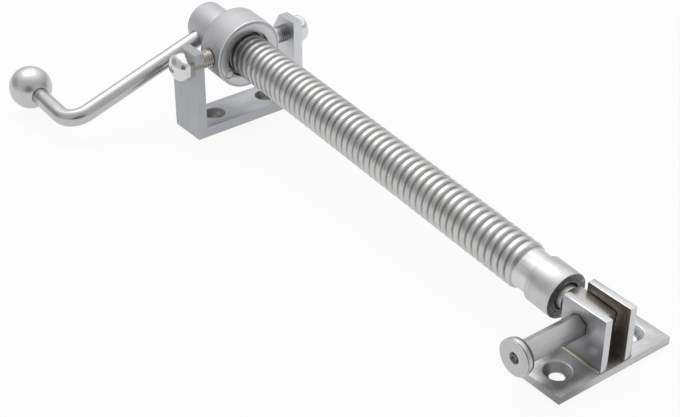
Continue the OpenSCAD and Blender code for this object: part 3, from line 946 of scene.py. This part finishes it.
# Darker in the groove, painted shade where the tube enters the nut, and a painted highlight on
# the neck.
lay_hollow_dirt_and_shade(thread_steel, on_tube, bare_r=12.0, darkest_r=11.3, most=0.5, until=242.6,
             colour=(0.16, 0.155, 0.15), rough=0.5)
lay_stain_and_light_band(thread_steel, on_tube, low=-12, high=28, soft=15, most=0.8, speck=250,
           colour=(0.13, 0.125, 0.12), rough=0.4)
lay_stain_and_light_band(thread_steel, on_tube, low=242.8, high=253, soft=0.5, most=0.85, spared=0,
           colour=(0.70, 0.70, 0.70), rough=0.33)
hand_over(tube, thread_steel, "screw", "jack_screw")

# Crank hub: turned stainless as thick as the tube, bored for the tube's spigot and
# cross-bored blind for the crank rod. Both faces have a broken edge.
hub_r = 12.5
hub_from = -36.3
hub_to = -10.02
hub_edge = 0.5
spigot_hole_r = 8.02
rod_r = 5.0
rod_at = -27.5
rod_floor = -8.5
crank_turn = math.radians(198.7)
lock_turn = math.radians(317)
lock_r = 2.0
lock_at = -15.25
lock_from = 3.0
lock_to = 12.0
on_crank = along_tube @ swing("X", crank_turn)
outward = swing("X", -quarter)
on_rod = on_crank @ move(rod_at, 0, 0) @ outward
on_lock = along_tube @ swing("X", lock_turn) @ move(lock_at, 0, 0) @ outward
hub = turned("crank_hub_body", [
    (hub_from, hub_r), (hub_to, hub_r), (hub_to, spigot_hole_r),
    (spigot_from - fit, spigot_hole_r)], sides=128)
break_edges(hub, hub_edge)
settle(hub, on_tube)
bore(hub, rod_r + fit, rod_floor - fit, 2 * hub_r, on_rod, sides=96)
bore(hub, lock_r + fit, lock_from - fit, 20, on_lock, sides=64)
smooth(hub)
hub_steel = bare_steel(
    "matt_hub_steel", on_tube, turned_grain, {"Fine": 2600}, metallic=0.72,
    dark=(0.48, 0.48, 0.50), light=(0.57, 0.57, 0.59), rough=(0.50, 0.60), depth=0.18)
hand_over(hub, hub_steel, "screw", "crank_hub")

# Lock pin: a blind steel pin that locks the hub to the tube's spigot, driven in from
# the side until it ends just under the surface.
pin = turned("hub_pin", [(lock_from, lock_r), (lock_to, lock_r)], sides=64)
break_edges(pin, 0.25)
settle(pin, on_lock)
hand_over(pin, key_steel, "screw", "hub_lock_pin")

# Crank rod: 10 mm round bar, out of the hub, round a tight right-angle bend and back
# into the ball. Drawn satin bar.
rod_bend = 12.0
rod_reach = 102.7
bend_steps = 28
ball_at = -74.4
ball_r = 12.5
ball_bed = 9.0
start_clean()
bpy.ops.mesh.primitive_circle_add(vertices=64, radius=rod_r * MM, fill_type="NGON")
rod = named("crank_rod")
edit(rod)
bpy.ops.transform.translate(value=(0, 0, rod_floor * MM))
pull_out(0, 0, rod_reach - rod_bend - rod_floor)
bpy.ops.mesh.spin(
    steps=bend_steps, angle=quarter, axis=(0, 1, 0),
    center=(-rod_bend * MM, 0, (rod_reach - rod_bend) * MM))
pull_out(ball_at + ball_r - ball_bed - (rod_at - rod_bend), 0, 0)
merge(merge_within / 5)
face_out()
break_edges(rod, 0.3, angle=50)
settle(rod, on_rod)
drawn_bar = bare_steel(
    "drawn_round_bar", on_crank, belt_grain, {"Fine": 700, "Long": 1.0, "Cloud": 60},
    dark=(0.50, 0.50, 0.50), light=(0.54, 0.54, 0.54), rough=(0.20, 0.26), depth=0.01)
hand_over(rod, drawn_bar, "screw", "crank_arm")

# Ball grip: a turned stainless ball, bored for the rod and pressed on, with the edge
# of the bore just broken.
bed_r = rod_r + fit
ball_step = 3
ball_line = []
for step in range(-87, 64, ball_step):
    lift = math.radians(step)
    ball_line.append((ball_r * math.sin(lift), ball_r * math.cos(lift)))
ball_line.append((math.sqrt(ball_r ** 2 - bed_r ** 2), bed_r))
ball_line.append((ball_r - ball_bed - fit, bed_r))
ball = turned("ball_grip", ball_line)
break_edges(ball, 0.35, angle=40)
settle(ball, on_crank @ move(ball_at, rod_reach, 0) @ swing("Y"))
ball_satin = bare_steel(
    "satin_ball_steel", on_crank, belt_grain, {"Fine": 900, "Long": 1.0, "Cloud": 90},
    dark=(0.54, 0.54, 0.55), light=(0.62, 0.62, 0.62), rough=(0.28, 0.34), depth=0.04)
hand_over(ball, ball_satin, "screw", "crank_ball")

# End sleeve: a turned cup screwed on the tube's neck. Its front wall holds the head
# of the swivel bolt, so the tube can turn while the tongue stands still.
sleeve_r = 12.5
sleeve_from = 252.52
sleeve_to = 268.5
sleeve_front = 264.0
cavity_r = 9.5
sleeve_mouth_r = 7.6
sleeve = turned("end_sleeve_cup", [
    (sleeve_from, cavity_r), (sleeve_from, sleeve_r), (sleeve_to, sleeve_r),
    (sleeve_to, sleeve_mouth_r), (sleeve_front, sleeve_mouth_r), (sleeve_front, cavity_r),
], sides=128, ring=True)
break_edges(sleeve, 0.5)
settle(sleeve, on_tube)
sleeve_steel = bare_steel(
    "satin_sleeve_steel", on_tube, turned_grain, {"Fine": 2600},
    dark=(0.53, 0.53, 0.54), light=(0.63, 0.63, 0.64), rough=(0.34, 0.44), depth=0.10)
lay_stain_and_light_band(sleeve_steel, on_tube, low=sleeve_to - 0.15, high=280, soft=0.1, most=0.8,
           spared=0.5, colour=(0.10, 0.09, 0.08), rough=0.5)
hand_over(sleeve, sleeve_steel, "screw", "end_sleeve")

# Swivel bolt: a headed bolt whose shank comes out of the sleeve and is screwed into
# the tongue, with a bronze thrust washer on each side of its head.
head_r = 9.42
head_from = 258.2
head_to = 262.8
shank_r = 6.25
tongue_from = 270.8
stud_r = 4.0
stud_to = 279.8
bolt = turned("swivel_bolt_body", [
    (head_from, head_r), (head_to, head_r), (head_to, shank_r), (tongue_from, shank_r),
    (tongue_from, stud_r), (stud_to, stud_r)])
break_edges(bolt, 0.2)
settle(bolt, on_tube)
dark_turned = bare_steel(
    "dark_turned_steel", on_tube, turned_grain, {"Fine": 2600},
    dark=(0.44, 0.43, 0.42), light=(0.54, 0.53, 0.52), rough=(0.26, 0.36), depth=0.10)
hand_over(bolt, dark_turned, "sash_end", "swivel_bolt")

washer_hole_r = 6.35
washer_thick = 1.0
washer_play = 0.1
bronze = bare_steel(
    "bronze_washer", on_tube, turned_grain, {"Fine": 2600},
    dark=(0.46, 0.30, 0.16), light=(0.62, 0.43, 0.25), rough=(0.26, 0.38), depth=0.08)
for name, low in (("thrust_washer_1", head_from - washer_thick - washer_play),
                  ("thrust_washer_2", head_to + washer_play)):
    washer = turned(name, [
        (low, washer_hole_r), (low, head_r), (low + washer_thick, head_r),
        (low + washer_thick, washer_hole_r)], ring=True)
    break_edges(washer, 0.12)
    settle(washer, on_tube)
    hand_over(washer, bronze, "sash_end", "thrust_washers")

# Tongue: flat stainless bar between the ears, drilled across for the hinge pin and
# tapped in its end for the swivel bolt.
pin_high = 22.5
pin_at = Vector((287.291, 0, pin_high)) * MM
pin_along_tube = 286.1
tongue_half_thick = 5.5
tongue_half_tall = 6.0
tongue_to = 294.4
pin_hole_r = 4.08
tongue = slab("sash_tongue", (tongue_from, -tongue_half_thick, -tongue_half_tall),
              (tongue_to, tongue_half_thick, tongue_half_tall))
break_edges(tongue, 0.5)
bore(tongue, stud_r + fit, tongue_from - 1, stud_to + fit, swing("Y"), sides=64)
bore(tongue, pin_hole_r, -12, 12, move(pin_along_tube, 0, 0) @ swing("X"))
smooth(tongue)
settle(tongue, along_tube)
dark_bar = bare_steel(
    "dark_flat_bar", along_tube, belt_grain, {"Fine": 1600},
    dark=(0.42, 0.41, 0.40), light=(0.54, 0.53, 0.52), rough=(0.28, 0.38), depth=0.10)
hand_over(tongue, dark_bar, "sash_end", "tongue")

# Sash plate: stainless flat bar, 4.4 mm thick, countersunk for two screws, with a
# bright broken edge all round.
plate_back = -11.1
plate_front = 17.1
plate_middle = (plate_front + plate_back) / 2
plate_half_wide = 36.2
plate_thick = 4.4
sash_holes_at = 23.6
sash_hole_r = 3.75
sash_sink_r = 7.0
at_pin = Matrix.Translation(pin_at)
below_pin = Matrix.Translation((pin_at.x, 0, 0))
plate = slab("sash_foot_plate", (plate_back, -plate_half_wide, 0),
             (plate_front, plate_half_wide, plate_thick))
for side in (-1, 1):
    countersink(plate, plate_middle, side * sash_holes_at, plate_thick, sash_hole_r,
                sash_sink_r)
break_edges(plate, 0.3)
settle(plate, below_pin)
satin_plate = bare_steel(
    "satin_sash_plate", at_pin @ swing("Z"), belt_grain, {"Fine": 1500},
    dark=(0.48, 0.48, 0.49), light=(0.60, 0.60, 0.61), rough=(0.34, 0.46), depth=0.12)
# Painted shade on the near corner, and darker in the near countersink.
lay_stain_and_light_band(satin_plate, below_pin @ swing("Z", quarter / 2) @ swing("X"), low=19, high=80,
           soft=14, most=0.75, speck=800, colour=(0.17, 0.17, 0.17), rough=0.5)
lay_hollow_dirt_and_shade(satin_plate, below_pin @ move(plate_middle, -sash_holes_at, 0),
             bare_r=7.0, darkest_r=6.4, most=0.65, colour=(0.13, 0.13, 0.12), rough=0.45)
hand_over(plate, satin_plate, "sash_bracket", "sash_plate")

# Ears: two lugs of flat bar that stand on the plate and carry the hinge pin, with
# the tongue between them.
ear_in = 5.8
ear_out = 10.0
ear_top = 11.3
ear_foot = plate_thick - pin_high
ear_inset = 0.5
mirror = Matrix.Scale(-1, 4, (0, 1, 0))
near_ear = slab("near_ear_lug", (plate_back + ear_inset, -ear_out, ear_foot),
                (plate_front - ear_inset, -ear_in, ear_top))
bore(near_ear, pin_hole_r, -20, 20, swing("X"))
break_edges(near_ear, 0.3)
settle(near_ear, at_pin)
far_ear = twin(near_ear, "far_ear_lug", mirror)
for ear, node, way, halo in ((near_ear, "near_ear", 1, 0.5), (far_ear, "far_ear", -1, 0.25)):
    ear_steel = bare_steel(
        ear.name + "_steel", at_pin @ swing("Z"), belt_grain, {"Fine": 1500},
        dark=(0.54, 0.54, 0.55), light=(0.64, 0.64, 0.65), rough=(0.16, 0.26), depth=0.10)
    # Dark brown on the inner face, partly its own tint and partly painted shade in the slot;
    # darker grey on the outer face; and painted shade round the pin, stronger on the near ear.
    through = at_pin @ swing("X", way * quarter)
    lay_stain_and_light_band(ear_steel, through, low=ear_in - 1, high=ear_in + 0.12, soft=0.1, most=0.85,
               speck=330, spared=0.35, colour=(0.27, 0.23, 0.19), rough=0.5)
    lay_stain_and_light_band(ear_steel, through, low=ear_out - 0.1, high=ear_out + 9, soft=0.08, most=0.5,
               speck=60, spared=0.35, colour=(0.22, 0.23, 0.25), rough=0.45)
    lay_hollow_dirt_and_shade(ear_steel, through, bare_r=9.5, darkest_r=5.6, most=halo,
                 colour=(0.15, 0.125, 0.10), rough=0.45)
    hand_over(ear, ear_steel, "sash_bracket", node)

# Welds: a small fillet bead along the outer foot of each ear, laid in short ripples
# and brushed, which leaves a warm straw colour.
bead_r = 1.2
bead_low_r = bead_r * 0.88
bead_from = plate_back + 1
bead_to = plate_front - 1
ripple = 0.9
ripples = []
for step in range(int((bead_to - bead_from) / ripple * 2) + 1):
    ripples.append((bead_from + step * ripple / 2, bead_r if step % 2 else bead_low_r))
ripples.append((bead_to, bead_low_r))
bead = turned("near_weld_bead", ripples, sides=40)
settle(bead, move(0, -ear_out, ear_foot) @ swing("Y"))
edit(bead)
saw((0, -ear_out, 0), (0, 1, 0), "outer")
saw((0, 0, ear_foot), (0, 0, -1), "outer")
end_edit()
smooth(bead, 50)
settle(bead, at_pin)
weld_metal = bare_steel(
    "straw_weld", at_pin, belt_grain, {"Fine": 900, "Long": 1.0, "Cloud": 300},
    dark=(0.40, 0.37, 0.33), light=(0.56, 0.52, 0.45), rough=(0.30, 0.45), depth=0.2)
for piece in (bead, twin(bead, "far_weld_bead", mirror)):
    hand_over(piece, weld_metal, "sash_bracket", "ear_welds")

# Hinge pin: turned from 10 mm hexagon bar. A plain shank goes through the ears and
# the tongue, the hexagon is the grip, and a centre-drilled tail holds the flange.
across_pin = at_pin @ swing("X")
hex_flats = 10.0
hex_corner = hex_flats / math.sqrt(3)
hex_from = 10.2
hex_to = 45.2
hex_turn = math.radians(-30)
pin_r = 4.0
pin_chamfer = 0.5
pin_end = -9.9
tail_r = 1.7
sink_floor = 48.1
centre_deep = 1.6
hinge_pin = hexagon_bar("hinge_pin_hex", hex_flats, hex_from, hex_to)
settle(hinge_pin, swing("Z", hex_turn - quarter))
break_edges(hinge_pin, 0.12)
cut_by(hinge_pin, turned("skim", [
    (hex_from - 1, hex_corner + 0.05), (hex_to - 0.5, hex_corner + 0.05),
    (hex_to, hex_flats / 2)]), "INTERSECT")
cut_by(hinge_pin, turned("shank", [
    (pin_end, pin_r - pin_chamfer), (pin_end + pin_chamfer, pin_r), (hex_from + 1, pin_r),
], sides=72), "UNION")
cut_by(hinge_pin, turned("tail", [
    (hex_to - 1, tail_r), (sink_floor + 0.1, tail_r), (sink_floor + 0.1, tail_r - 0.15),
    (sink_floor - centre_deep, 0.2)], sides=64), "UNION")
smooth(hinge_pin, 25)
settle(hinge_pin, across_pin)
pin_bar = bare_steel(
    "satin_hexagon_bar", across_pin @ swing("Y"), belt_grain, {"Fine": 1700},
    dark=(0.44, 0.44, 0.44), light=(0.54, 0.54, 0.54), rough=(0.34, 0.44), depth=0.08)
# Brown at the end of the hexagon, partly its own tint and partly painted shade beside the
# washer, and painted shade in the centre-drilled tail.
lay_stain_and_light_band(pin_bar, across_pin, low=43.4, high=47, soft=1.6, most=0.6, speck=500,
           colour=(0.22, 0.17, 0.11), rough=0.5)
lay_hollow_dirt_and_shade(pin_bar, across_pin, bare_r=3.0, darkest_r=1.8, most=0.6,
             colour=(0.10, 0.10, 0.10), rough=0.3)
hand_over(hinge_pin, pin_bar, "hinge_pin", "hinge_pin")

# Ring washer: turned from brass that has gone brown, and darker still as painted shade in the
# gap.
# It sits on the pin's tail, between the end of the hexagon and the flange.
ring_r = 8.7
ring_to = hex_to + 1.5
ring_hole_r = tail_r + fit
washer = turned("pin_ring_washer", [
    (hex_to + fit, ring_hole_r), (hex_to + fit, ring_r), (ring_to, ring_r),
    (ring_to, ring_hole_r)], ring=True)
break_edges(washer, 0.3)
settle(washer, across_pin)
shaded_brown_brass = bare_steel(
    "browned_brass_and_shade", across_pin, turned_grain, {"Fine": 2600},
    dark=(0.11, 0.095, 0.08), light=(0.21, 0.185, 0.155), rough=(0.34, 0.46), depth=0.08)
hand_over(washer, shaded_brown_brass, "hinge_pin", "pin_washer")

# Flange: a turned stainless button with a fine groove round its rim, a small boss
# behind it and a sink in front, where the tail of the pin is riveted over.
flange_r = 9.3
flange_from = 47.0
flange_to = 49.7
boss_r = 7.7
dimple_r = 3.1
groove_from = 49.05
groove_to = 49.35
groove_r = 8.6
flange = turned("pin_flange_button", [
    (ring_to + fit, ring_hole_r), (ring_to + fit, boss_r), (flange_from, boss_r),
    (flange_from, flange_r), (groove_from, flange_r), (groove_from, groove_r),
    (groove_to, groove_r), (groove_to, flange_r), (flange_to, flange_r),
    (flange_to, dimple_r + fit), (sink_floor, ring_hole_r)], sides=128, ring=True)
break_edges(flange, 0.08)
settle(flange, across_pin)
flange_satin = bare_steel(
    "satin_flange", across_pin, turned_grain, {"Fine": 2600},
    dark=(0.48, 0.48, 0.48), light=(0.58, 0.58, 0.58), rough=(0.28, 0.38), depth=0.10)
# Painted shade in the sink.
lay_hollow_dirt_and_shade(flange_satin, across_pin, bare_r=3.05, darkest_r=2.8, most=0.9,
             colour=(0.07, 0.07, 0.07), rough=0.3)
hand_over(flange, flange_satin, "hinge_pin", "pin_flange")
